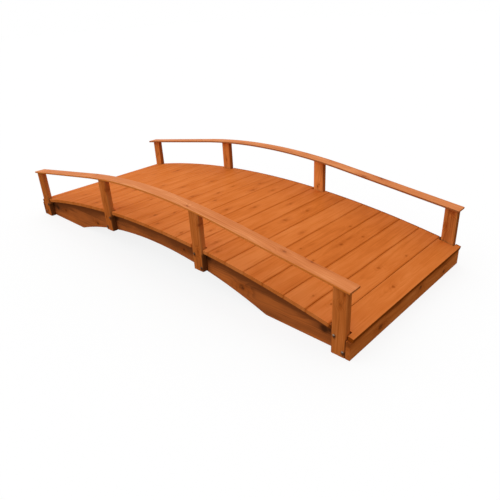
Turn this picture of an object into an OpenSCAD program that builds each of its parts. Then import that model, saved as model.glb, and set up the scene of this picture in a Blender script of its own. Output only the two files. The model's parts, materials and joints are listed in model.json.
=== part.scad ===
// Arched wooden garden footbridge with low handrails.
// X runs along the bridge, Y across it and Z up. The origin is on the ground under the middle of the bridge.
// Front is the -Y side, left is the -X end. All sizes are in millimetres.

/* [Bridge] */
// Length over the outer faces of the two end boards
span = 3058; // [2600:1:3500]
// Width over the outer faces of the posts
width = 1229; // [900:1:1500]

/* [Stringers] */
// Thickness of each arched stringer
stringer_t = 38; // [25:1:60]
// Height of the stringers' top edge at the middle of the bridge
crown_h = 269; // [240:1:320]
// Height of the stringers' top edge at the outer faces of the end boards
end_h = 103; // [80:1:130]
// Height of the arched underside at the middle of the bridge
arch_h = 160; // [120:1:180]
// Length of each flat foot, from the outer face of the end board
foot_l = 561; // [400:1:700]

/* [End boards] */
// Thickness of each end board
end_board_t = 26; // [18:1:40]

/* [Posts] */
// Width of each post along the bridge
post_w = 84; // [50:1:100]
// Thickness of each post across the bridge
post_t = 40; // [25:1:50]
// Radius of the eased edges of each post
post_edge = 9; // [2:0.5:12]
// Distance from the middle of the bridge to the centre line of each inner post
inner_post_x = 478; // [350:1:700]

/* [Deck] */
// Width of each deck board
board_w = 139.7; // [90:0.1:190]
// Thickness of each deck board
board_t = 24; // [18:0.5:38]
// Smallest gap between two deck boards
board_gap = 0.8; // [0.5:0.1:6]
// Radius of the eased top edges of each deck board
board_edge = 3; // [1:0.5:6]
// How far the deck reaches past the outer face of each end board
deck_overhang = 7; // [5:1:50]
// How far the ends of the deck boards stand in from the posts' outer faces
deck_inset = 8; // [0:0.5:15]
// Clearance round a post in the notch of its deck board
notch_clear = 5; // [1:0.5:8]
// A strip of deck board beside a post that is narrower than this is cut away
least_strip = 20; // [10:1:30]

/* [Handrails] */
// Width of each handrail
rail_w = 85; // [60:1:120]
// Thickness of each handrail
rail_t = 13; // [10:0.5:30]
// Height of the handrails' top above the top of the deck, at the middle of the bridge
rail_h = 245; // [150:1:400]
// Height of the handrails' top above the top of the deck, at the end posts
rail_end_h = 242; // [150:1:400]
// Distance from the middle of the bridge to where the handrails' bend ends and they run on straight
rail_bend_x = 690; // [400:1:1000]
// How far each handrail reaches past the posts' outer faces
rail_out = 8; // [0:1:25]
// How far each handrail reaches past the end posts, along the bridge
rail_end = 15; // [0:1:60]
// Radius of the rounded edges of each handrail
rail_edge = 4; // [1:0.5:5]

/* [Hidden] */
// Segments to a full turn of the arches, and of the small eased edges
arch_fn = 720;
edge_fn = 48;
// Margin by which a cutting shape stands clear of what it cuts
cut = 10;
// Length by which a handrail's straight ends start inside its bend, so that they join
bend_lap = 0.02;

wood_deck = "#CF7436";
wood_rail = "#D98A55";
wood_post = "#AD622B";
wood_stringer = "#96521F";
wood_end_board = "#A35A28";

// Radius of the arc that rises by rise over half_chord to each side
function arc_radius(half_chord, rise) = (half_chord * half_chord + rise * rise) / (2 * rise);

// The stringers' top edge, on which the deck boards lie
seat_r = arc_radius(span / 2, crown_h - end_h);
seat_c = crown_h - seat_r;

// The stringers' arched underside
arch_half = span / 2 - foot_l;
arch_r = arc_radius(arch_half, arch_h);
function under_z(x) = abs(x) < arch_half ? arch_h - arch_r + sqrt(arch_r * arch_r - x * x) : 0;

// The deck: whole boards, spread evenly over the arc
function deck_top_z(x) = seat_c + sqrt(pow(seat_r + board_t, 2) - x * x);
deck_half_angle = asin((span / 2 + deck_overhang) / seat_r);
deck_arc = 2 * deck_half_angle * PI / 180 * seat_r;
board_count = floor(deck_arc / (board_w + board_gap));
board_step = 2 * deck_half_angle / board_count;
board_l = width - 2 * deck_inset;
function board_angle(i) = (i - (board_count + 1) / 2) * board_step;
function board_x(i) = seat_r * sin(board_angle(i));

// The end boards reach up to the underside of the last deck board
last_angle = board_angle(board_count);
end_board_h = seat_c + seat_r * cos(last_angle) - (span / 2 - seat_r * sin(last_angle)) * tan(last_angle);

// The posts stand outside the stringers, the end ones against the end boards
inner_face = span / 2 - end_board_t;
end_post_x = inner_face - post_w / 2;
post_x = [-end_post_x, -inner_post_x, inner_post_x, end_post_x];
inner_post_foot = under_z(inner_post_x - post_w / 2);
post_foot = [0, inner_post_foot, inner_post_foot, 0];
post_y = width / 2 - post_t / 2;
stringer_y = width / 2 - post_t - stringer_t / 2;

// The handrails are bent over the middle of the bridge and run on straight, tangent to the bend, to their ends.
// Their slope there is the one at which they come down to their height at the end posts.
rail_top = deck_top_z(0) + rail_h;
rail_drop = rail_top - deck_top_z(end_post_x) - rail_end_h;
function half_slope(t) = rail_drop / (rail_bend_x + 2 * (end_post_x - rail_bend_x) / (1 - t * t));
rail_slope = 2 * atan(half_slope(half_slope(0)));
bend_r = rail_bend_x / sin(rail_slope);
bend_c = rail_top - rail_t - bend_r;
straight_l = (inner_face + rail_end - rail_bend_x) / cos(rail_slope);
rail_y = width / 2 + rail_out - rail_w / 2;
function rail_under_z(x) = abs(x) < rail_bend_x
    ? bend_c + sqrt(bend_r * bend_r - x * x)
    : bend_c + bend_r * cos(rail_slope) - (abs(x) - rail_bend_x) * tan(rail_slope);

sides = ["front", "back"];
ends = ["left", "right"];
function side_sign(s) = s == 0 ? -1 : 1;

stringer_names = ["front_stringer", "middle_stringer", "back_stringer"];
function end_board_name(e) = str(ends[e], "_end_board");
function post_name(s, k) = str(sides[s], "_post_", k + 1);
function rail_name(s) = str(sides[s], "_handrail");
function board_name(i) = str("deck_board_", i < 10 ? "0" : "", i);

// Turns a profile drawn in X and Y, with Y as height, into a slab of thickness t across the bridge
module across(t) {
    rotate([90, 0, 0])
        linear_extrude(t, center = true)
            children();
}

// Rectangle w by h round the origin, with its corners rounded to radius r
module eased_rect(w, h, r) {
    square([w - 2 * r, h], center = true);
    square([w, h - 2 * r], center = true);
    for (sx = [-1, 1], sy = [-1, 1])
        translate([sx * (w / 2 - r), sy * (h / 2 - r)])
            circle(r, $fn = edge_fn);
}

// Stringer: arched top edge, flat feet and an arched underside between them
module stringer(y) {
    color(wood_stringer)
        translate([0, y, 0])
            across(stringer_t)
                difference() {
                    intersection() {
                        translate([-inner_face, 0])
                            square([2 * inner_face, crown_h + cut]);
                        translate([0, seat_c])
                            circle(seat_r, $fn = arch_fn);
                    }
                    translate([0, arch_h - arch_r])
                        circle(arch_r, $fn = arch_fn);
                }
}

// End board: a plank on edge that closes the bridge's end, between the ground and the deck
module end_board(e) {
    color(wood_end_board)
        translate([side_sign(e) * (span / 2 - end_board_t / 2), 0, end_board_h / 2])
            cube([end_board_t, width, end_board_h], center = true);
}

// Post: a plank on end with eased edges, its top cut to the slope of the handrail
module post(s, k) {
    x0 = post_x[k] - post_w / 2;
    x1 = post_x[k] + post_w / 2;
    color(wood_post)
        translate([0, side_sign(s) * post_y, 0])
            intersection() {
                translate([post_x[k], 0, 0])
                    linear_extrude(rail_top)
                        eased_rect(post_w, post_t, post_edge);
                across(post_t + cut)
                    polygon([
                        [x0, post_foot[k]],
                        [x1, post_foot[k]],
                        [x1, rail_under_z(x1)],
                        [x0, rail_under_z(x0)]
                    ]);
            }
}

// Handrail: a flat board bent over the posts, with a straight stretch at each end
module handrail(s) {
    color(wood_rail)
        translate([0, side_sign(s) * rail_y, bend_c]) {
            rotate([90, 0, 0])
                rotate([0, 0, 90 - rail_slope])
                    rotate_extrude(angle = 2 * rail_slope, $fn = arch_fn)
                        translate([bend_r + rail_t / 2, 0])
                            eased_rect(rail_t, rail_w, rail_edge);
            for (half = [0, 1])
                mirror([half, 0, 0])
                    rotate([0, rail_slope, 0])
                        translate([-bend_lap, 0, bend_r + rail_t / 2])
                            rotate([0, 90, 0])
                                linear_extrude(bend_lap + straight_l)
                                    eased_rect(rail_t, rail_w, rail_edge);
        }
}

// Deck board before it is notched: flat, with eased top edges, lying on the stringers' top edge
module board_blank(i) {
    rotate_y = board_angle(i);
    translate([0, 0, seat_c])
        rotate([0, rotate_y, 0])
            translate([0, 0, seat_r])
                across(board_l) {
                    translate([-board_w / 2, 0])
                        square([board_w, board_t - board_edge]);
                    translate([board_edge - board_w / 2, 0])
                        square([board_w - 2 * board_edge, board_t]);
                    for (sx = [-1, 1])
                        translate([sx * (board_w / 2 - board_edge), board_t - board_edge])
                            circle(board_edge, $fn = edge_fn);
                }
}

// Room that deck board i leaves for the post at x, taking away strips too narrow to leave standing
module post_notch(i, x) {
    half_board = board_w / 2 * cos(board_angle(i));
    strip_left = (x - post_w / 2) - (board_x(i) - half_board);
    strip_right = (board_x(i) + half_board) - (x + post_w / 2);
    reach_left = strip_left < least_strip ? board_w : notch_clear;
    reach_right = strip_right < least_strip ? board_w : notch_clear;
    for (s = [0, 1])
        translate([x + (reach_right - reach_left) / 2, side_sign(s) * (post_y + cut / 2), crown_h / 2])
            cube([
                post_w + reach_left + reach_right,
                post_t + cut + 2 * notch_clear,
                2 * crown_h
            ], center = true);
}

// Deck board: a plank across the bridge, notched round the posts that pass it
module deck_board(i) {
    color(wood_deck)
        difference() {
            board_blank(i);
            for (x = post_x)
                if (abs(board_x(i) - x) < (board_w + post_w) / 2 + notch_clear)
                    post_notch(i, x);
        }
}

for (k = [0 : len(stringer_names) - 1])
    stringer((k - 1) * stringer_y);
for (e = [0, 1])
    end_board(e);
for (s = [0, 1], k = [0 : len(post_x) - 1])
    post(s, k);
for (s = [0, 1])
    handrail(s);
for (i = [1 : board_count])
    deck_board(i);
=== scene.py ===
"""Looks of an arched wooden garden footbridge: stained softwood, steel bolts and a plain pale stage.

All sizes are in metres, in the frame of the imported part: +X along the bridge, +Y to its back, +Z up.
"""

import json
import math
import random

import bmesh
import bpy
from mathutils import Matrix, Vector

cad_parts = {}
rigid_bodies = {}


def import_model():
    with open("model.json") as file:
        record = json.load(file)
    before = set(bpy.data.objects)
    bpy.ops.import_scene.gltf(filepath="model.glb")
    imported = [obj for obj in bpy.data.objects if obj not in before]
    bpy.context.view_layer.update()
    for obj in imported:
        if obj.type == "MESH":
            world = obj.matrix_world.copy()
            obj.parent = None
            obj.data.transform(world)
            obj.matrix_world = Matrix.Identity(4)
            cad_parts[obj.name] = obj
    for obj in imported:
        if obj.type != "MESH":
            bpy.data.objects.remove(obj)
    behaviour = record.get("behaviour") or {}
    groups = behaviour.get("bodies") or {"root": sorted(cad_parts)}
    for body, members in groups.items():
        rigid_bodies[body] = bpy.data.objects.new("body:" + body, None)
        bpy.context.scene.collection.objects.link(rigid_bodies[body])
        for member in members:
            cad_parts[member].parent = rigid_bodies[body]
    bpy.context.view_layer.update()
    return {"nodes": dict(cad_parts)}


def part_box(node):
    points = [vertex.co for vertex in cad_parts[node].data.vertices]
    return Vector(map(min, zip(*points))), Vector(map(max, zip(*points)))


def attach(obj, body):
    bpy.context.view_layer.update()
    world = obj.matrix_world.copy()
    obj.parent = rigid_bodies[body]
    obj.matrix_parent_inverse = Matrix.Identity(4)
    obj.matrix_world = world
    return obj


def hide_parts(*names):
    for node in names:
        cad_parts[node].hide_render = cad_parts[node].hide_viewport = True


for leftover in list(bpy.data.objects):
    bpy.data.objects.remove(leftover)
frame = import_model()

# Sizes that the pieces share with the solids
SEAT_RADIUS = 7.1246
BOARD_COUNT = 22
BOARD_WIDTH = 0.1397
BOARD_THICK = 0.024
POSTS = range(1, 5)
END_POSTS = (1, 4)
RIGHT_POST = 4
RAIL_THICK = 0.013
RAIL_EDGE = 0.004
RAIL_BEND_X = 0.690

# How far the dressed rails stay inside their solids, the easing of their ends, the steps of their rounded
# edges and the cuts that let them bend
HAIR = 0.0001
RAIL_END_EDGE = 0.0015
RAIL_EDGE_STEPS = 6
RAIL_CUTS = 120

# Softness of the sawn edges, the steps of an eased edge, the least angle of an edge that is eased and the
# angle up to which faces join
ARRIS = 0.0012
ARRIS_STEPS = 2
SHARP_EDGE = math.radians(35)
FLAT_JOIN = math.radians(0.2)
WELD = 1e-5

# Stain colours, linear, from the palest earlywood to the darkest streak
STAIN = [
    (0.00, (0.74, 0.218, 0.049)),
    (0.35, (0.65, 0.168, 0.029)),
    (0.65, (0.53, 0.131, 0.022)),
    (1.00, (0.29, 0.068, 0.012)),
]
DECK_STAIN = [
    (0.00, (0.74, 0.218, 0.049)),
    (0.35, (0.65, 0.166, 0.027)),
    (0.65, (0.53, 0.120, 0.014)),
    (1.00, (0.30, 0.062, 0.005)),
]
RAIL_STAIN = [
    (0.00, (0.86, 0.350, 0.130)),
    (0.25, (0.71, 0.230, 0.068)),
    (0.65, (0.58, 0.160, 0.036)),
    (1.00, (0.34, 0.070, 0.012)),
]
PALE_STAIN = [
    (0.00, (0.88, 0.340, 0.095)),
    (0.35, (0.81, 0.280, 0.065)),
    (0.65, (0.68, 0.228, 0.053)),
    (1.00, (0.41, 0.106, 0.019)),
]
STRINGER_STAIN = [
    (0.00, (0.74, 0.218, 0.049)),
    (0.35, (0.65, 0.170, 0.034)),
    (0.65, (0.51, 0.134, 0.030)),
    (1.00, (0.26, 0.070, 0.018)),
]

# Colours laid over the stain: painted light and shade on narrow faces, seams, knots, iron stain and painted
# shade
# Painted light on the front posts' sides, cancelling the deck's red bounce; painted light and shade on
# rails' sides
POST_SIDE_LIGHT = (0.56, 0.205, 0.052)
RAIL_SIDE_LIGHT_AND_SHADE = {"front": (0.86, 0.230, 0.022), "back": (0.22, 0.060, 0.012)}
SEAM_STAIN = (0.48, 0.100, 0.006)
KNOT_CORE = (0.21, 0.037, 0.006)
DECK_KNOT = (0.34, 0.062, 0.002)
KNOT_RING = (0.42, 0.078, 0.006)
DARK_STAIN_AND_SHADE = (0.10, 0.030, 0.010)
# Share of a narrow face's painted colour, and of painted shade on the posts' narrow faces below the deck
SIDE_SHARE = 0.6
UNDER_DECK_SHADE_SHARE = 0.75

# Zinc plating, bright and dull, on the bolts that glint, and a darker copy of it as painted shade on the
# others, the painted shade on their undersides, and how often its tarnish and its grit change in a metre
ZINC = ((0.36, 0.27, 0.20), (0.20, 0.145, 0.105))
SHADED_ZINC = ((0.18, 0.088, 0.042), (0.10, 0.052, 0.027))
UNDERSIDE_SHADE = (0.035, 0.022, 0.014)
TARNISH = (260.0, 260.0, 260.0)
GRIT = (1500.0, 1500.0, 1500.0)

# Noises in the wood: how often each changes in a metre along the grain, across it and through the plank
RING_WANDER = (1.6, 7.0, 7.0)
RING_JITTER = (3.0, 90.0, 90.0)
FIBRE = (9.0, 520.0, 520.0)
STREAK = (1.8, 28.0, 28.0)
BAND = (2.6, 75.0, 75.0)
BLOTCH = (5.0, 13.0, 13.0)
KNOT_RAGS = (45.0, 45.0, 20.0)
KNOT_CLOUD = (60.0, 60.0, 60.0)
# Middle of a coloured noise's values
NOISE_MIDDLE = (0.5, 0.5, 0.5)
# Reach of the shift that gives each plank noises of its own
SEED_REACH = 40

# How strongly fibres, blotches and bands shade the stain
FIBRE_SHADE = 0.18
BLOTCH_SHADE = 0.50
BAND_SHADE = 0.14
# Noise levels at which a band, a worn edge and a knot's cloudy colour start and are full
BAND_LEVELS = (0.52, 0.74)
WORN_LEVELS = (0.30, 0.65)
CLOUD_LEVELS = (0.2, 0.8)
# How squarely a face has to look up, along the grain or across it, to start to count and to count in full
UP_FACING = (0.4, 0.9)
END_FACING = (0.6, 0.95)
SIDE_FACING = (0.5, 0.9)
UNDER_DECK_SHADE_FACING = (0.25, 0.60)
# How far in from a plank's faces its edges are worn to the full
EDGE_INSET = 0.001
# Roughness of the wood and of its thin coat, and the depth and strength of its grain
WOOD_ROUGHNESS = 0.55
COAT_ROUGHNESS = 0.4
GRAIN_DEPTH = 0.0004
GRAIN_STRENGTH = 0.45

# Growth rings: place of the pith from the plank's middle, its lean, the width of a ring, how far the rings
# wander and are bent by a knot, and where in a ring the latewood sets in and ends
PITH_ACROSS = (-0.06, 0.06)
PITH_THROUGH = (-0.16, -0.05)
LEAN_ACROSS = (-0.02, 0.02)
LEAN_THROUGH = (-0.03, 0.03)
RING_WIDTHS = (0.0032, 0.0050)
WANDER_REACH = (0.0, 0.030, 0.030)
JITTER_REACH = 0.5
KNOT_BEND = 2.2
LATE_START = (0.30, 0.88)
LATE_END = (0.92, 1.0)

# Shape of the knots: how far their outline strays, how their core and rim are drawn out, and between which
# distances, in radii, the core, the rim and the pull on the grain fade
KNOT_STRAY = (0.014, 0.014, 0.0)
CORE_STRETCH = (0.75, 1.0)
RIM_STRETCH = (0.30, 0.9)
CORE_FADE = (0.30, 1.30)
RIM_FADE = (0.40, 1.90)
PULL_FADE = (0.0, 4.5)
# Shares of a plank's half length and half width within which its random knots lie
KNOT_REACH = (0.9, 0.7)

# Knots that show on the deck: board number to (place along the board, place across it, radius)
DECK_KNOTS = {
    7: [(0.025, 0.040, 0.010)],
    8: [(0.525, 0.050, 0.009)],
    9: [(-0.245, 0.045, 0.012), (-0.025, -0.050, 0.010), (0.295, -0.035, 0.008)],
    10: [(0.085, 0.050, 0.012)],
    11: [(-0.240, 0.000, 0.008), (-0.075, 0.015, 0.010), (0.370, 0.050, 0.008), (0.475, -0.025, 0.010)],
    12: [(-0.405, -0.015, 0.009), (-0.270, 0.040, 0.013), (0.050, -0.035, 0.009), (0.555, -0.035, 0.008)],
    13: [(-0.355, 0.015, 0.009), (0.115, 0.010, 0.012), (0.545, 0.050, 0.009)],
    14: [(-0.040, -0.015, 0.011), (0.405, 0.025, 0.008)],
    15: [(-0.245, -0.010, 0.009), (0.490, 0.020, 0.009)],
    16: [(-0.235, 0.000, 0.010), (-0.025, -0.015, 0.011), (0.560, -0.035, 0.008)],
    17: [(0.030, 0.025, 0.008)],
    18: [(-0.260, 0.045, 0.008), (0.190, -0.005, 0.007)],
    19: [(-0.030, -0.010, 0.012), (-0.210, 0.030, 0.010), (0.235, -0.020, 0.007)],
    20: [(0.495, 0.035, 0.007)],
    21: [(0.015, -0.010, 0.010), (-0.225, 0.035, 0.007), (0.480, -0.005, 0.008)],
    22: [(0.100, -0.010, 0.009)],
}

# Knots that show on the other planks, in the same way, from the plank's middle
PLANK_KNOTS = {
    "front_post_2": [(0.120, 0.036, 0.010), (-0.090, -0.015, 0.008)],
    "front_post_3": [(0.115, 0.036, 0.009), (-0.060, 0.012, 0.008)],
    "back_post_2": [(0.035, 0.004, 0.009), (-0.110, -0.020, 0.007)],
    "back_post_3": [(-0.010, -0.004, 0.007), (0.006, 0.010, 0.005)],
    "front_stringer": [
        (0.794, -0.022, 0.020), (-1.216, -0.047, 0.013), (-0.721, -0.030, 0.015), (0.310, 0.060, 0.011),
    ],
    "right_end_board": [(-0.335, -0.010, 0.018), (0.098, 0.015, 0.015), (0.410, -0.020, 0.013)],
    "front_handrail": [
        (1.113, 0.007, 0.010), (1.261, 0.034, 0.007), (0.420, -0.020, 0.007), (-0.610, 0.015, 0.008),
    ],
    "back_handrail": [
        (0.872, -0.034, 0.014), (0.972, 0.028, 0.015), (-0.260, -0.018, 0.007), (-1.020, 0.012, 0.008),
    ],
}

# Deck boards, numbered from the left end: the outer ones, the ones nearest the right end, those with
# seams of middling strength, those with painted light towards the front, those with a dark rim at the
# back, and the odd pale and dark ones
OUTER_BOARDS = (1, 22)
NEAR_BOARDS = range(18, 23)
MIDDLE_BOARDS = range(13, 18)
LIT_BOARDS = range(13, 22)
RIMMED_BOARDS = range(9, 23)
PALE_BOARDS = (17,)
DARK_BOARDS = (1, 16, 18, 19)
# Length of the painted light at the boards' front ends and of the dark rim at their back ends
FRONT_LIGHT_STRIP = 0.300
FAR_RIM = 0.018
# Painted shade on the outer boards' strips beside the end posts: place along the board, across it, and
# radius
STRIP_SHADE_MARK = (0.590, 0.058, 0.017)

# Shade of the posts, by number, where it isn't the usual one
POST_TONE = 0.30
FRONT_POST_TONES = {3: 0.24}
BACK_POST_TONES = {1: 0.60, 2: 0.52, 3: 0.26, 4: 0.58}
# Painted shade on the posts' narrow faces below the deck, fading to the stain over this height
UNDER_DECK_SHADE_FADE = 0.020
# Iron stain and painted shadow below a bolt: height of its middle over the bolt, place beside the bolt, and
# radius
BOLT_MARK = (-0.005, 0.004, 0.012)

# Depth and strength of the painted shade along the stringers' top edge, and depth of the one on the end
# boards' top
OVERHANG_SHADE_DEPTH = 0.112
OVERHANG_SHADE = 0.75
END_BOARD_SHADE_RIM = 0.040
# Painted shade on the stringers beside every post, and further in beside the end posts: distance along the
# bridge from the post's middle, depth under the stringer's top edge, and radius
CORNER_SHADE_MARK = (0.054, 0.034, 0.022)
END_POST_SHADE_MARK = (0.107, 0.055, 0.024)

# Bolts: distance to each side of a post's middle, heights on the end posts and on the inner ones
BOLT_SIDE = 0.026
END_BOLT_HEIGHTS = (0.1065, 0.031)
INNER_BOLT_HEIGHTS = (0.232, 0.153)
# Bolt heads: a low dome on a short skirt, cut from a ball, and how far all of it is sunk into the wood
HEAD_RADIUS = 0.0072
HEAD_RISE = 0.0042
HEAD_SKIRT = 0.0010
HEAD_TURN_STEPS = 32
BALL_STEPS = 48
SUNK = 0.0006
# Washer, nut and bolt's end: sides, radius, lower and upper height, and easing of the rims
NUT_PARTS = [
    (32, 0.0095, -SUNK, 0.0014, 0.0003),
    (6, 0.0075, 0.0012, 0.0068, 0.0005),
    (24, 0.0039, 0.0060, 0.0095, 0.0006),
]

# The stage: a floor that glows white but keeps a faint shadow, under a dome that is brighter from the left
FLOOR_HALF = 40.0
FLOOR_DROP = 0.0005
FLOOR_GREY = (0.12, 0.12, 0.12)
FLOOR_GLOW = 0.85
WHITE = (1.0, 1.0, 1.0)
DOME_LEVEL = 0.92
DOME_RISE = 0.15
DOME_SIDE = 0.50

# The camera, from the photo's perspective, with its focal length and the photo's width in pixels
EYE = Vector((2.4772, -2.2050, 1.5233))
YAW = math.radians(44.515)
PITCH = math.radians(-26.773)
ROLL = math.radians(-3.176)
FOCAL_PX = 486.89
PHOTO_PX = 500
SENSOR_MM = 36.0


class Value:
    """One socket in a node tree. Operators on it add Math nodes."""

    def __init__(self, nodes, socket):
        self.nodes = nodes
        self.socket = socket

    def __add__(self, other):
        return self.nodes.math("ADD", self, other)

    def __sub__(self, other):
        return self.nodes.math("SUBTRACT", self, other)

    def __rsub__(self, other):
        return self.nodes.math("SUBTRACT", other, self)

    def __mul__(self, other):
        return self.nodes.math("MULTIPLY", self, other)

    def __truediv__(self, other):
        return self.nodes.math("DIVIDE", self, other)

    __radd__ = __add__
    __rmul__ = __mul__


class Nodes:
    """The node tree of a material or a world, filled one node at a time."""

    def __init__(self, owner):
        owner.use_nodes = True
        self.owner = owner
        self.tree = owner.node_tree
        self.tree.nodes.clear()

    def node(self, kind, settings=None, sockets=None, out=0):
        made = self.tree.nodes.new(kind)
        for key, value in (settings or {}).items():
            if key == "stops":
                set_stops(made.color_ramp, value)
            else:
                setattr(made, key, value)
        for key, value in (sockets or {}).items():
            if isinstance(value, Value):
                self.tree.links.new(value.socket, made.inputs[key])
            else:
                made.inputs[key].default_value = value
        return Value(self, made.outputs[out]) if made.outputs else None

    def math(self, operation, *operands):
        return self.node("ShaderNodeMath", {"operation": operation}, dict(enumerate(operands)))

    def vector(self, operation, *operands, out=0):
        settings = {"operation": operation}
        return self.node("ShaderNodeVectorMath", settings, dict(enumerate(operands)), out)

    def length(self, vector):
        return self.vector("LENGTH", vector, out="Value")

    def axis(self, vector, name):
        return self.node("ShaderNodeSeparateXYZ", {}, {"Vector": vector}, name)

    def smooth(self, value, low, high):
        """0 below low, 1 above high, and a smooth rise between them."""
        settings = {"interpolation_type": "SMOOTHSTEP"}
        sockets = {"Value": value, "From Min": low, "From Max": high}
        return self.node("ShaderNodeMapRange", settings, sockets)

    def mix(self, share, first, second):
        settings = {"data_type": "RGBA"}
        return self.node("ShaderNodeMix", settings, {0: share, 6: first, 7: second}, out=2)

    def noise(self, place, stretch, detail=2.0, roughness=0.5, out="Fac"):
        """Noise that is drawn out by different amounts along the axes of place."""
        spot = self.vector("MULTIPLY", place, stretch)
        sockets = {"Vector": spot, "Scale": 1.0, "Detail": detail, "Roughness": roughness}
        return self.node("ShaderNodeTexNoise", {}, sockets, out)

    def surface(self, shader):
        is_world = isinstance(self.owner, bpy.types.World)
        kind = "ShaderNodeOutputWorld" if is_world else "ShaderNodeOutputMaterial"
        self.node(kind, {}, {"Surface": shader})


def set_stops(ramp, stops):
    while len(ramp.elements) < len(stops):
        ramp.elements.new(1.0)
    for element, (position, colour) in zip(ramp.elements, stops):
        element.position = position
        element.color = rgba(colour)


def rgba(colour):
    return (*colour, 1.0)


def new_material(name):
    return Nodes(bpy.data.materials.new(name))


def grain_place(n, axes, centre):
    """Place in a plank's own frame: X along its grain, Y across its face and Z through it."""
    if axes is None:
        return n.node("ShaderNodeAttribute", {"attribute_name": "grain"}, out="Vector")
    place = n.node("ShaderNodeTexCoord", out="Object")
    sockets = {"Vector": place, "Location": centre, "Rotation": axes.to_euler()}
    return n.node("ShaderNodeMapping", {"vector_type": "TEXTURE"}, sockets)


def knot_marks(n, place, knots):
    """Core, rim and pull of all knots: how far a point is in a knot, round it and in the grain it bends."""
    core = rim = pull = 0.0
    stray = n.vector("SUBTRACT", n.noise(place, KNOT_RAGS, detail=3.0, out="Color"), NOISE_MIDDLE)
    ragged = n.vector("ADD", place, n.vector("MULTIPLY", stray, KNOT_STRAY))
    for along, across, radius in knots:
        away = n.vector("SUBTRACT", ragged, (along, across, 0.0))
        near, drawn = (
            n.length(n.vector("MULTIPLY", away, (stretch[0] / radius, stretch[1] / radius, 0.0)))
            for stretch in (CORE_STRETCH, RIM_STRETCH)
        )
        core = core + (1 - n.smooth(near, *CORE_FADE))
        rim = rim + (1 - n.smooth(drawn, *RIM_FADE))
        pull = pull + (1 - n.smooth(near, *PULL_FADE))
    return core, rim, pull


def growth_rings(n, place, own, along, pull, draw):
    """Latewood, the dark part of each growth ring round a pith that runs beside the plank."""
    pith = (0.0, draw.uniform(*PITH_ACROSS), draw.uniform(*PITH_THROUGH))
    lean = (0.0, draw.uniform(*LEAN_ACROSS), draw.uniform(*LEAN_THROUGH))
    ring_width = draw.uniform(*RING_WIDTHS)
    wander = n.vector("SUBTRACT", n.noise(own, RING_WANDER, out="Color"), NOISE_MIDDLE)
    wander = n.vector("MULTIPLY", wander, WANDER_REACH)
    drift = n.node("ShaderNodeVectorMath", {"operation": "SCALE"}, {0: lean, "Scale": along})
    spot = n.vector("ADD", n.vector("ADD", place, wander), drift)
    spot = n.vector("MULTIPLY", n.vector("SUBTRACT", spot, pith), (0.0, 1.0, 1.0))
    jitter = n.noise(own, RING_JITTER, detail=1.0)
    rings = n.length(spot) / ring_width + pull * KNOT_BEND + jitter * JITTER_REACH
    ring = n.math("FRACT", rings)
    number = n.math("FLOOR", rings)
    year = n.node("ShaderNodeTexWhiteNoise", {"noise_dimensions": "1D"}, {"W": number}, "Value")
    late = n.smooth(ring, *LATE_START) * (1 - n.smooth(ring, *LATE_END))
    return late * (0.45 + year * 0.55)


def facing_shares(n, axes):
    """How far a face looks up, along the grain and across it."""
    facing = n.node("ShaderNodeNewGeometry", out="Normal")
    upward = n.axis(facing, "Z")
    run = tuple(axes.col[0]) if axes else (1.0, 0.0, 0.0)
    beside = tuple(axes.col[1]) if axes else (0.0, 1.0, 0.0)
    lengthways = n.math("ABSOLUTE", n.vector("DOT_PRODUCT", facing, run, out="Value"))
    sideways = n.math("ABSOLUTE", n.vector("DOT_PRODUCT", facing, beside, out="Value"))
    return upward, lengthways, sideways


def long_edges(n, place, half, width):
    """1 along the plank's four long edges, falling to 0 within width of them."""
    reach = n.node("ShaderNodeVectorMath", {"operation": "ABSOLUTE"}, {0: place})
    across = n.smooth(n.axis(reach, "Y"), half[1] - width, half[1] - EDGE_INSET)
    return across * n.smooth(n.axis(reach, "Z"), half[2] - width, half[2] - EDGE_INSET)


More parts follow.
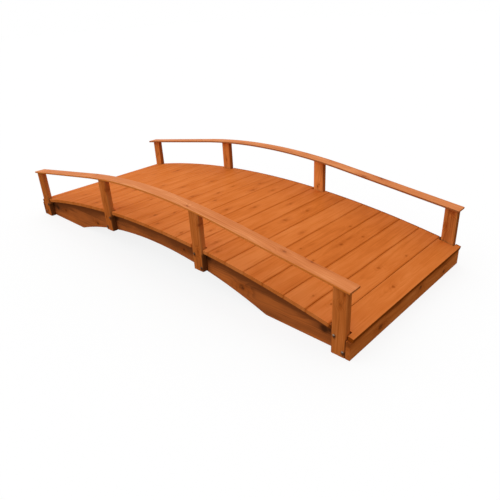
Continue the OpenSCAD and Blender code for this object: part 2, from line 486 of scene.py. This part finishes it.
def wood(
    name, axes, centre, half, knots, tone, draw, stain=STAIN, contrast=1.0, ring_shade=0.17,
    edge_shade=-0.22, edge_width=0.007, end_shade=0.3, side_painted_shade=0.0, side_light_colour=None, seam=0.0,
    knot_core=KNOT_CORE, knot_share=1.0, knot_halo=1.0, streaks=0.60, gloss=0.0, marks=(),
    arch_centre=None, shade_height=None, top_shade=0.0, far_shade=0.0, front_light=0.0,
):
    """Stained softwood: growth rings round a pith, fibres, stain blotches, knots and worn edges.

    The plank's frame is given by axes, centre and half, and without axes by its own grain attribute.
    A shade above 0 moves a place towards the stain's dark end. Below the given height a post's narrow faces
    get painted shade, and a stringer gets painted shade towards the arc round arch_centre.
    """
    n = new_material(name)
    place = grain_place(n, axes, centre)
    seed = Vector([draw.uniform(-SEED_REACH, SEED_REACH) for _ in range(3)])
    own = n.vector("ADD", place, seed)
    along = n.axis(place, "X")
    core, rim, pull = knot_marks(n, place, knots)
    late = growth_rings(n, place, own, along, pull, draw)
    fibre = n.noise(own, FIBRE, roughness=0.6)
    streak = n.noise(own, STREAK, detail=3.0, roughness=0.55)
    band = n.smooth(n.noise(own, BAND), *BAND_LEVELS)
    blotch = n.noise(own, BLOTCH, detail=3.0)

    upward, lengthways, sideways = facing_shares(n, axes)
    end_grain = n.smooth(lengthways, *END_FACING)
    side_face = n.smooth(sideways, *SIDE_FACING)
    edge = long_edges(n, place, half, edge_width)
    worn = edge * n.smooth(blotch, *WORN_LEVELS)

    shade = late * ring_shade + (fibre - 0.5) * FIBRE_SHADE + (streak - 0.5) * streaks
    shade = shade + (blotch - 0.5) * BLOTCH_SHADE + band * BAND_SHADE
    shade = tone + shade * contrast + end_grain * end_shade + side_face * side_painted_shade + worn * edge_shade
    # An end board's top gets painted shade under the deck
    if top_shade:
        shade = shade + n.smooth(n.axis(place, "Y"), half[1] - END_BOARD_SHADE_RIM, half[1]) * top_shade
    if far_shade:
        shade = shade + (1 - n.smooth(along, -half[0], FAR_RIM - half[0])) * far_shade
    # Painted light at the deck boards' front ends, against the rail's shade
    if front_light:
        shade = shade + n.smooth(along, half[0] - FRONT_LIGHT_STRIP, half[0] - FRONT_LIGHT_STRIP / 2) * front_light
    # A stringer gets painted shade towards its top edge, under the deck
    if arch_centre is not None:
        depth = SEAT_RADIUS - n.length(n.vector("SUBTRACT", place, (0.0, arch_centre, 0.0)))
        shade = shade + (1 - n.smooth(depth, 0.0, OVERHANG_SHADE_DEPTH)) * OVERHANG_SHADE

    colour = n.node("ShaderNodeValToRGB", {"stops": stain}, {"Fac": shade}, "Color")
    # Painted light and shade on the narrow faces
    if side_light_colour:
        colour = n.mix(side_face * SIDE_SHARE, colour, rgba(side_light_colour))
    if seam:
        colour = n.mix((edge * 0.4 + worn * 0.6) * seam, colour, rgba(SEAM_STAIN))
    # Painted shade on a post's narrow faces below the deck
    if shade_height is not None:
        below = 1 - n.smooth(along, shade_height - UNDER_DECK_SHADE_FADE, shade_height)
        under_deck_shade = n.smooth(sideways, *UNDER_DECK_SHADE_FACING) * below
        colour = n.mix(under_deck_shade * UNDER_DECK_SHADE_SHARE, colour, rgba(DARK_STAIN_AND_SHADE))
    cloud = n.smooth(n.noise(own, KNOT_CLOUD), *CLOUD_LEVELS)
    colour = n.mix(rim * (0.25 + cloud * 0.30) * knot_halo, colour, rgba(KNOT_RING))
    colour = n.mix(core * (0.22 + cloud * 0.42) * knot_share, colour, rgba(knot_core))
    # Iron stain and painted shadow round the bolts, and painted shade beside the posts and on the deck's
    # strips
    if marks:
        dimmed, around, _ = knot_marks(n, place, marks)
        colour = n.mix(dimmed * 0.85 + around * 0.10, colour, rgba(DARK_STAIN_AND_SHADE))

    relief = late * 0.5 + fibre * 0.7 + core * 0.6
    sockets = {"Strength": GRAIN_STRENGTH, "Distance": GRAIN_DEPTH, "Height": relief}
    bump = n.node("ShaderNodeBump", {}, sockets, "Normal")
    rough = WOOD_ROUGHNESS + (fibre - 0.5) * 0.16 - late * 0.06 + end_grain * 0.2 + core * 0.05
    sockets = {
        "Base Color": colour,
        "Roughness": rough,
        "Specular IOR Level": 0.0,
        "Coat Weight": n.smooth(upward, *UP_FACING) * gloss if gloss else 0.0,
        "Coat Roughness": COAT_ROUGHNESS,
        "Normal": bump,
    }
    n.surface(n.node("ShaderNodeBsdfPrincipled", {}, sockets))
    return n.owner


def zinc(name, bright, dull):
    """Dull zinc plating with fine cloudy tarnish, and painted shade where it faces down."""
    n = new_material(name)
    place = n.node("ShaderNodeTexCoord", out="Object")
    cloud = n.noise(place, TARNISH, detail=3.0)
    grit = n.noise(place, GRIT, detail=1.0)
    upward = n.axis(n.node("ShaderNodeNewGeometry", out="Normal"), "Z")
    plated = n.mix(n.smooth(cloud, 0.35, 0.75), rgba(bright), rgba(dull))
    # Painted shade on the faces that look down
    colour = n.mix(n.smooth(upward, -0.10, 0.45), rgba(UNDERSIDE_SHADE), plated)
    bump = n.node("ShaderNodeBump", {}, {"Strength": 0.2, "Distance": 0.0001, "Height": grit}, "Normal")
    sockets = {"Base Color": colour, "Metallic": 1.0, "Roughness": 0.36 + cloud * 0.2, "Normal": bump}
    n.surface(n.node("ShaderNodeBsdfPrincipled", {}, sockets))
    return n.owner


def finish_piece(name, bm, material):
    """The finished piece, with smooth shading over its eased edges and its broad faces left flat."""
    mesh = bpy.data.meshes.new(name)
    bm.to_mesh(mesh)
    bm.free()
    piece = bpy.data.objects.new(name, mesh)
    bpy.context.scene.collection.objects.link(piece)
    mesh.materials.append(material)
    for face in mesh.polygons:
        face.use_smooth = True
    piece.modifiers.new("flats", "WEIGHTED_NORMAL")
    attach(piece, "root")
    return piece


def ease(bm, edges, offset, steps=ARRIS_STEPS, clamp=False):
    """Rounds edges off to the given offset."""
    bmesh.ops.bevel(
        bm, geom=edges, offset=offset, offset_type="OFFSET", affect="EDGES", segments=steps,
        profile=0.5, material=-1, clamp_overlap=clamp,
    )


def plank(node, material):
    """A sawn plank: the node's own solid with its sharp edges taken off."""
    bm = bmesh.new()
    bm.from_mesh(frame["nodes"][node].data)
    bmesh.ops.remove_doubles(bm, verts=bm.verts, dist=WELD)
    bmesh.ops.dissolve_limit(bm, angle_limit=FLAT_JOIN, verts=bm.verts, edges=bm.edges)
    sharp = [e for e in bm.edges if len(e.link_faces) == 2 and e.calc_face_angle() > SHARP_EDGE]
    ease(bm, sharp, ARRIS, clamp=True)
    piece = finish_piece(node + "_wood", bm, material)
    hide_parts(node)


def middle(low, high):
    """Middle and half sizes of a box."""
    return (low + high) / 2, (high - low) / 2


def columns(*axes):
    """The matrix whose columns are a plank's axes: along its grain, across it and through the plank."""
    return Matrix(axes).transposed()


def seat_rise(x):
    """Height of the stringers' top edge over the centre of its arc."""
    return math.sqrt(SEAT_RADIUS**2 - x**2)


def random_knots(draw, count, half, radii):
    """Knots strewn over a plank that has none listed."""
    along, across = KNOT_REACH
    return [
        (
            draw.uniform(-along, along) * half[0],
            draw.uniform(-across, across) * half[1],
            draw.uniform(*radii),
        )
        for _ in range(count)
    ]


def deck_boards():
    """Boards across the bridge, each leaning with the arc that it lies on."""
    for number in range(1, BOARD_COUNT + 1):
        node = f"deck_board_{number:02d}"
        draw = random.Random(f"deck {number}")
        centre, half = middle(*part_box(node))
        lean = math.asin(centre.x / SEAT_RADIUS)
        across = (math.cos(lean), 0, -math.sin(lean))
        up = (math.sin(lean), 0, math.cos(lean))
        board_half = (half.y, BOARD_WIDTH / 2, BOARD_THICK / 2)
        near = number in NEAR_BOARDS
        outer = number in OUTER_BOARDS
        spread = 0.95 if near else 1.3
        knots = DECK_KNOTS.get(number) or random_knots(draw, 3, board_half, (0.006, 0.012))
        knots = [(along, aside, radius * spread) for along, aside, radius in knots]
        tone = (0.27 if near else 0.21) + draw.uniform(-0.05, 0.05)
        tone += 0.12 * (number in DARK_BOARDS) - 0.08 * (number in PALE_BOARDS)
        seam = 0.8 if near else 0.55 if number in MIDDLE_BOARDS else 0.2
        inward = math.copysign(STRIP_SHADE_MARK[1], -centre.x)
        strips = [(along, inward, STRIP_SHADE_MARK[2]) for along in (STRIP_SHADE_MARK[0], -STRIP_SHADE_MARK[0])]
        # Painted shade on the boards' sides, strongest on the outer boards, and on the outer boards' strips
        # by the posts
        stain = wood(
            node + "_stain", columns((0, -1, 0), across, up), centre, board_half, knots, tone, draw,
            DECK_STAIN, contrast=1.2, ring_shade=0.09, streaks=0.40, gloss=0.07,
            # Painted highlight on the outer boards' edges, and painted shade on their ends
            edge_shade=-0.15 if outer else 0.0, edge_width=0.014, end_shade=0.75 if outer else 0.0,
            side_painted_shade=0.85 if outer else 0.1, seam=0.0 if outer else seam,
            knot_core=DECK_KNOT, knot_share=1.5 if near else 1.05, knot_halo=0.5 if near else 0.8,
            marks=strips if outer else (),
            far_shade=0.8 if number in RIMMED_BOARDS else 0.0,
            front_light=-0.16 if number in LIT_BOARDS else 0.0,
        )
        plank(node, stain)


def bolt_places(number, x):
    """Height and distance along the bridge from the post's middle, for a post's two bolts."""
    upper, lower = END_BOLT_HEIGHTS if number in END_POSTS else INNER_BOLT_HEIGHTS
    to_crown = -1 if x > 0 else 1
    return [(upper, to_crown * BOLT_SIDE), (lower, -to_crown * BOLT_SIDE)]


def posts():
    """Upright posts, with iron stain and painted shadow round their bolts and painted shade on narrow faces
    below the deck.
    """
    axes = columns((0, 0, 1), (1, 0, 0), (0, 1, 0))
    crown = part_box("front_stringer")[1].z
    rise, aside, mark_radius = BOLT_MARK
    sides = (("front", STAIN, FRONT_POST_TONES), ("back", PALE_STAIN, BACK_POST_TONES))
    for side, colours, tones in sides:
        for number in POSTS:
            node = f"{side}_post_{number}"
            draw = random.Random(node)
            centre, half = middle(*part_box(node))
            post_half = (half.z, half.x, half.y)
            knots = PLANK_KNOTS.get(node) or random_knots(draw, 2, post_half, (0.005, 0.010))
            bolted = [
                (height - centre.z + rise, across + aside, mark_radius)
                for height, across in bolt_places(number, centre.x)
            ]
            seat = crown - SEAT_RADIUS + seat_rise(centre.x)
            # Painted shade on the narrow faces, and on the front ones a colour that paints out the deck's
            # red bounce light
            stain = wood(
                node + "_stain", axes, centre, post_half, knots, tones.get(number, POST_TONE), draw,
                colours, contrast=1.7, edge_shade=-0.35, edge_width=0.011,
                side_painted_shade=0.60 if side == "back" else 0.22 if number == RIGHT_POST else 0.08,
                side_light_colour=POST_SIDE_LIGHT if side == "front" and number != RIGHT_POST else None,
                marks=bolted, shade_height=seat - centre.z,
            )
            plank(node, stain)


def stringer_shade_marks(side, arch_centre):
    """Painted shade beside the posts, in the frame of a side stringer."""
    marks = []
    for number in POSTS:
        post, _ = middle(*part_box(f"{side}_post_{number}"))
        spots = [(post.x - CORNER_SHADE_MARK[0], CORNER_SHADE_MARK), (post.x + CORNER_SHADE_MARK[0], CORNER_SHADE_MARK)]
        if number in END_POSTS:
            spots.append((post.x - math.copysign(END_POST_SHADE_MARK[0], post.x), END_POST_SHADE_MARK))
        marks += [(x, arch_centre + seat_rise(x) - drop, radius) for x, (_, drop, radius) in spots]
    return marks


def stringers():
    """Arched stringers, with painted shade towards the deck and, on the two sides, beside the posts."""
    axes = columns((1, 0, 0), (0, 0, 1), (0, -1, 0))
    for side in ("front", "middle", "back"):
        node = f"{side}_stringer"
        draw = random.Random(node)
        low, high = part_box(node)
        centre, half = middle(low, high)
        stringer_half = (half.x, half.z, half.y)
        knots = PLANK_KNOTS.get(node) or random_knots(draw, 7, stringer_half, (0.008, 0.014))
        arch_centre = high.z - SEAT_RADIUS - centre.z
        stain = wood(
            node + "_stain", axes, centre, stringer_half, knots, 0.54, draw, STRINGER_STAIN,
            contrast=1.3, edge_shade=0.0, knot_core=DARK_STAIN_AND_SHADE, knot_share=1.6,
            marks=() if side == "middle" else stringer_shade_marks(side, arch_centre), arch_centre=arch_centre,
        )
        plank(node, stain)


def end_boards():
    """Boards across the two ends, with painted shade along the top under the deck."""
    axes = columns((0, 1, 0), (0, 0, 1), (1, 0, 0))
    for end in ("left", "right"):
        node = f"{end}_end_board"
        draw = random.Random(node)
        centre, half = middle(*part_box(node))
        board_half = (half.y, half.z, half.x)
        knots = PLANK_KNOTS.get(node) or random_knots(draw, 5, board_half, (0.006, 0.012))
        # The left board's end grain is darker still as painted shade, and both tops get painted shade under
        # the deck
        stain = wood(
            node + "_stain", axes, centre, board_half, knots, 0.18, draw,
            contrast=1.5, end_shade=0.7 if end == "left" else 0.3, top_shade=0.5,
            knot_core=DARK_STAIN_AND_SHADE, knot_share=1.6,
        )
        plank(node, stain)


def rail_slope(drop, reach):
    """Slope of a rail that is bent up to RAIL_BEND_X, then straight, and comes down by drop over reach."""
    half_slope = 0.0
    for _ in range(4):
        half_slope = drop / (RAIL_BEND_X + 2 * (reach - RAIL_BEND_X) / (1 - half_slope**2))
    return 2 * math.atan(half_slope)


def rail_course(low, high):
    """Slope of a handrail's straight ends and half the length of its underside, from its solid's box."""
    reach = high.x
    for _ in range(3):
        slope = rail_slope(high.z - RAIL_THICK - low.z, reach)
        reach = high.x - RAIL_THICK * math.sin(slope)
    bend = RAIL_BEND_X / math.sin(slope) * slope
    return slope, bend + (reach - RAIL_BEND_X) / math.cos(slope)


def cut_everywhere(bm, place, normal, dist, clear_outer=False):
    """Cuts the whole shape along a plane."""
    bmesh.ops.bisect_plane(
        bm, geom=bm.verts[:] + bm.edges[:] + bm.faces[:], dist=dist, plane_co=place, plane_no=normal,
        clear_outer=clear_outer,
    )


def straight_rail(half_length, width, middle_y):
    """A straight rail with eased edges, its underside at height 0, cut across so that it can be bent."""
    bm = bmesh.new()
    bmesh.ops.create_cube(bm, size=1.0)
    bmesh.ops.scale(bm, verts=bm.verts, vec=(2 * half_length, width, RAIL_THICK - 2 * HAIR))
    bmesh.ops.translate(bm, verts=bm.verts, vec=(0, middle_y, RAIL_THICK / 2))
    sides = [e for e in bm.edges if abs(e.verts[0].co.x - e.verts[1].co.x) > half_length]
    ease(bm, sides, RAIL_EDGE, RAIL_EDGE_STEPS)
    ends = [e for e in bm.edges if all(abs(v.co.x) > half_length - WELD for v in e.verts)]
    ease(bm, ends, RAIL_END_EDGE)
    for k in range(1, RAIL_CUTS):
        cut_everywhere(bm, (half_length * (2 * k / RAIL_CUTS - 1), 0, 0), (1, 0, 0), WELD)
    return bm


def bend_rail(bm, slope, crown):
    """Bends a straight rail, drawn with its underside at height 0, over the posts."""
    radius = RAIL_BEND_X / math.sin(slope)
    centre = crown - radius
    for vert in bm.verts:
        along, up = vert.co.x, vert.co.z
        turn = max(-slope, min(slope, along / radius))
        past = along - turn * radius
        vert.co.x = (radius + up) * math.sin(turn) + past * math.cos(turn)
        vert.co.z = centre + (radius + up) * math.cos(turn) - past * math.sin(turn)


def handrails():
    """Handrails drawn straight, with their grain, and then bent over the posts."""
    for side in ("front", "back"):
        node = f"{side}_handrail"
        draw = random.Random(node)
        low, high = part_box(node)
        slope, half_length = rail_course(low, high)
        width = high.y - low.y - 2 * HAIR
        middle_y = (high.y + low.y) / 2
        bm = straight_rail(half_length, width, middle_y)
        grain = bm.verts.layers.float_vector.new("grain")
        for vert in bm.verts:
            vert[grain] = vert.co - Vector((0, middle_y, RAIL_THICK / 2))
        bend_rail(bm, slope, high.z - RAIL_THICK)
        bmesh.ops.recalc_face_normals(bm, faces=bm.faces)
        rail_half = (half_length, width / 2, RAIL_THICK / 2)
        # The front rail's sides get painted light and the back rail's painted shade
        stain = wood(
            node + "_stain", None, None, rail_half, PLANK_KNOTS[node], 0.28, draw, RAIL_STAIN,
            contrast=1.25, edge_shade=-0.3, side_light_colour=RAIL_SIDE_LIGHT_AND_SHADE[side], knot_share=1.4, gloss=0.2,
        )
        piece = finish_piece(node + "_wood", bm, stain)
        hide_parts(node)


def bolt_head():
    """A low domed bolt head on the XY plane, facing +Z."""
    ball = (HEAD_RADIUS**2 + HEAD_RISE**2) / (2 * HEAD_RISE)
    bm = bmesh.new()
    bmesh.ops.create_uvsphere(bm, u_segments=HEAD_TURN_STEPS, v_segments=BALL_STEPS, radius=ball)
    bmesh.ops.translate(bm, verts=bm.verts, vec=(0, 0, HEAD_RISE - ball))
    cut_everywhere(bm, (0, 0, 0), (0, 0, -1), WELD / 10, clear_outer=True)
    rim = [e for e in bm.edges if e.is_boundary]
    skirt = bmesh.ops.extrude_edge_only(bm, edges=rim)["geom"]
    low = [v for v in skirt if isinstance(v, bmesh.types.BMVert)]
    bmesh.ops.translate(bm, verts=low, vec=(0, 0, -HEAD_SKIRT))
    bmesh.ops.translate(bm, verts=bm.verts, vec=(0, 0, HEAD_SKIRT - SUNK))
    return bm


def bolt_nut():
    """A washer, a nut and the bolt's end on the XY plane, facing +Z."""
    bm = bmesh.new()
    for sides, radius, low, high, easing in NUT_PARTS:
        made = bmesh.ops.create_cone(
            bm, cap_ends=True, segments=sides, radius1=radius, radius2=radius, depth=high - low
        )["verts"]
        bmesh.ops.translate(bm, verts=made, vec=(0, 0, (low + high) / 2))
        edges = [e for e in bm.edges if e.verts[0] in made]
        rims = [e for e in edges if abs(e.verts[0].co.z - e.verts[1].co.z) < WELD / 10]
        ease(bm, rims, easing)
    return bm


def bolts():
    """Two bolts through each post: the heads outside it, the nuts inside the stringer."""
    plain = zinc("zinc_plate", *ZINC)
    # A darker copy of the zinc is painted shade on the bolts that are not at the right end
    dimmed = zinc("shaded_zinc", *SHADED_ZINC)
    scratch = bpy.data.meshes.new("bolt_part")
    for side, out in (("front", -1), ("back", 1)):
        inner_face = min(abs(corner.y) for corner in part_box(f"{side}_stringer"))
        for number in POSTS:
            node = f"{side}_post_{number}"
            low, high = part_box(node)
            x = (low.x + high.x) / 2
            outer_face = max(abs(low.y), abs(high.y))
            whole = bmesh.new()
            for height, across in bolt_places(number, x):
                for part, depth, turn in ((bolt_head(), outer_face, 1), (bolt_nut(), inner_face, -1)):
                    aim = Matrix.Rotation(-out * turn * math.pi / 2, 3, "X")
                    bmesh.ops.rotate(part, verts=part.verts, cent=(0, 0, 0), matrix=aim)
                    bmesh.ops.translate(part, verts=part.verts, vec=(x + across, out * depth, height))
                    part.to_mesh(scratch)
                    part.free()
                    whole.from_mesh(scratch)
            bmesh.ops.recalc_face_normals(whole, faces=whole.faces)
            finish_piece(node + "_bolts", whole, plain if number == RIGHT_POST else dimmed)
    bpy.data.meshes.remove(scratch)


def seen_directly(n):
    """1 for rays that show the background itself: from the camera, in a reflection or through glass."""
    camera_ray, glossy_ray, clear_ray = (
        n.node("ShaderNodeLightPath", out=f"Is {kind} Ray") for kind in ("Camera", "Glossy", "Transmission")
    )
    return n.math("MAXIMUM", n.math("MAXIMUM", camera_ray, glossy_ray), clear_ray)


def lay_floor():
    """A floor that looks white but throws little light back."""
    bm = bmesh.new()
    bmesh.ops.create_grid(bm, x_segments=1, y_segments=1, size=FLOOR_HALF)
    bmesh.ops.translate(bm, verts=bm.verts, vec=(0, 0, -FLOOR_DROP))
    mesh = bpy.data.meshes.new("floor")
    bm.to_mesh(mesh)
    bm.free()
    floor = bpy.data.objects.new("floor", mesh)
    bpy.context.scene.collection.objects.link(floor)
    n = new_material("pale_floor")
    matt = n.node("ShaderNodeBsdfDiffuse", {}, {"Color": rgba(FLOOR_GREY)})
    pale = n.node("ShaderNodeBsdfDiffuse", {}, {"Color": rgba(WHITE)})
    glow = n.node("ShaderNodeEmission", {}, {"Color": rgba(WHITE), "Strength": 1.0})
    shown = n.node("ShaderNodeMixShader", {}, {0: FLOOR_GLOW, 1: pale, 2: glow})
    n.surface(n.node("ShaderNodeMixShader", {}, {0: seen_directly(n), 1: matt, 2: shown}))
    mesh.materials.append(n.owner)


def light_dome():
    """Soft light from all round. The background itself shows plain white."""
    world = bpy.data.worlds.new("soft_room")
    bpy.context.scene.world = world
    n = Nodes(world)
    way = n.node("ShaderNodeTexCoord", out="Generated")
    height = n.math("MAXIMUM", n.axis(way, "Z"), 0.0)
    level = DOME_LEVEL + height * DOME_RISE - n.axis(way, "X") * DOME_SIDE
    dome = n.node("ShaderNodeBackground", {}, {"Color": rgba(WHITE), "Strength": level})
    plain = n.node("ShaderNodeBackground", {}, {"Color": rgba(WHITE), "Strength": 1.0})
    n.surface(n.node("ShaderNodeMixShader", {}, {0: seen_directly(n), 1: dome, 2: plain}))


def set_camera():
    data = bpy.data.cameras.new("camera")
    data.sensor_width = SENSOR_MM
    data.lens = SENSOR_MM * FOCAL_PX / PHOTO_PX
    holder = bpy.data.objects.new("camera", data)
    turn = Matrix.Rotation(YAW, 4, "Z") @ Matrix.Rotation(math.pi / 2 + PITCH, 4, "X")
    holder.matrix_world = Matrix.Translation(EYE) @ turn @ Matrix.Rotation(ROLL, 4, "Z")
    bpy.context.scene.collection.objects.link(holder)
    bpy.context.scene.camera = holder


deck_boards()
posts()
stringers()
end_boards()
handrails()
bolts()
lay_floor()
light_dome()
set_camera()
bpy.context.scene.view_settings.view_transform = "Standard"
